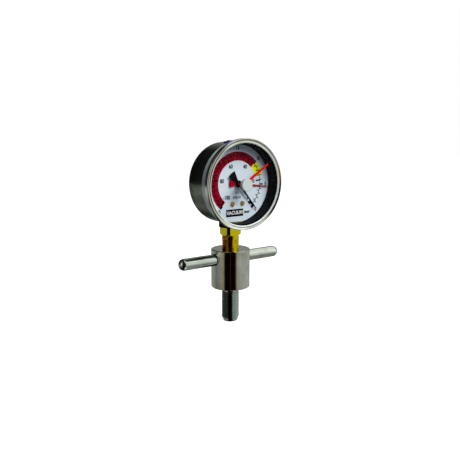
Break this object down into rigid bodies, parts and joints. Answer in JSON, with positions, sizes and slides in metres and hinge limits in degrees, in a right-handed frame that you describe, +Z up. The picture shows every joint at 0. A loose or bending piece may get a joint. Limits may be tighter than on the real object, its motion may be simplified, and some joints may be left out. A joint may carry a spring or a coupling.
{
  "type": "dial vacuum gauge with T-handle",
  "caption": "Round dial vacuum gauge on a brass stem in a stainless T-handle hub, whose threaded stud screws by hand into a lid port; with pointer, maximum hand and set hand.",
  "frame": {"origin": "centre of the hub's underside (the seat face), on the stud's axis", "axes": "+Z up the stem, the stud points to -Z; the handle rods lie along X; the dial looks to -Y"},
  "size_m": [0.0966, 0.0391, 0.1499],
  "materials": {
    "stainless_case": "satin",
    "stainless_bezel": "polished",
    "stainless_hub": "turned",
    "stainless_rod": "polished",
    "acrylic": "clear",
    "black_rubber": "matt",
    "blue_rubber": "matt",
    "brass_stem": "machined",
    "brass_movement": "stamped",
    "brass_screw": "polished",
    "steel_screw": "satin",
    "steel_arbor": "ground",
    "bronze_tube": "drawn",
    "bronze_spring": "rolled",
    "dial_white": "printed",
    "pointer_black": "matt",
    "max_hand_red": "satin",
    "set_hand_red": "satin",
    "knob_white": "moulded"
  },
  "bodies": {
    "housing": {"handle_hub": "stainless_hub", "left_handle_rod": "stainless_rod", "right_handle_rod": "stainless_rod", "seat_seal": "black_rubber", "case": "stainless_case", "bezel_ring": "stainless_bezel", "window": "acrylic", "window_gasket": "black_rubber", "fill_plug": "blue_rubber", "base_seal": "black_rubber", "case_screw_left": "steel_screw", "case_screw_right": "steel_screw", "socket": "brass_stem", "restrictor_screw": "brass_stem", "dial": "dial_white", "dial_screw_left": "brass_screw", "dial_screw_right": "brass_screw", "movement_back_plate": "brass_movement", "movement_front_plate": "brass_movement", "pillar_lower_left": "brass_movement", "pillar_lower_right": "brass_movement", "pillar_upper_left": "brass_movement", "pillar_upper_right": "brass_movement", "plate_screw_left": "steel_screw", "plate_screw_right": "steel_screw", "bourdon_tube": "bronze_tube", "hairspring": "bronze_spring", "hand_bush": "brass_stem", "drag_washer": "steel_arbor"},
    "pointer_group": {"pinion_arbor": "steel_arbor", "pointer": "pointer_black", "pointer_bush": "brass_stem"},
    "sector_group": {"sector_gear": "brass_movement", "sector_arbor": "steel_arbor"},
    "tube_tip": {"tube_tip_cap": "bronze_tube"},
    "tip_link": {"link": "steel_arbor"},
    "max_hand_group": {"max_hand": "max_hand_red"},
    "set_knob_group": {"set_knob": "knob_white", "set_hand": "set_hand_red", "friction_washer": "steel_arbor", "spindle_clip": "steel_arbor"}
  },
  "joints": [
    {"name": "pointer_turn", "type": "hinge", "parent": "housing", "child": "pointer_group", "pos_m": [0, 0, 0.0852], "axis": [0, -1, 0], "range_deg": [0, 280], "stiffness_Nm_per_rad": 0.001, "deforming": ["bourdon_tube", "hairspring"]},
    {"name": "sector_turn", "type": "hinge", "parent": "housing", "child": "sector_group", "pos_m": [0.01143, 0, 0.0786], "axis": [0, -1, 0], "range_deg": [-28, 0]},
    {"name": "tip_swing", "type": "hinge", "parent": "housing", "child": "tube_tip", "pos_m": [-0.00378, 0, 0.09101], "axis": [0, -1, 0], "range_deg": [-4.6, 0]},
    {"name": "link_swing", "type": "hinge", "parent": "tube_tip", "child": "tip_link", "pos_m": [0.02144, 0, 0.08025], "axis": [0, -1, 0], "range_deg": [0, 4.6]},
    {"name": "max_hand_turn", "type": "hinge", "parent": "housing", "child": "max_hand_group", "pos_m": [0, 0, 0.0852], "axis": [0, -1, 0], "range_deg": [-43.2, 236.8]},
    {"name": "set_knob_turn", "type": "hinge", "parent": "housing", "child": "set_knob_group", "pos_m": [0, 0, 0.0852], "axis": [0, -1, 0], "continuous": true}
  ],
  "couplings": [
    {"joint": "sector_turn", "follows": "pointer_turn", "ratio": -0.1},
    {"joint": "tip_swing", "follows": "pointer_turn", "ratio": -0.016428},
    {"joint": "link_swing", "follows": "pointer_turn", "ratio": 0.016428}
  ]
}
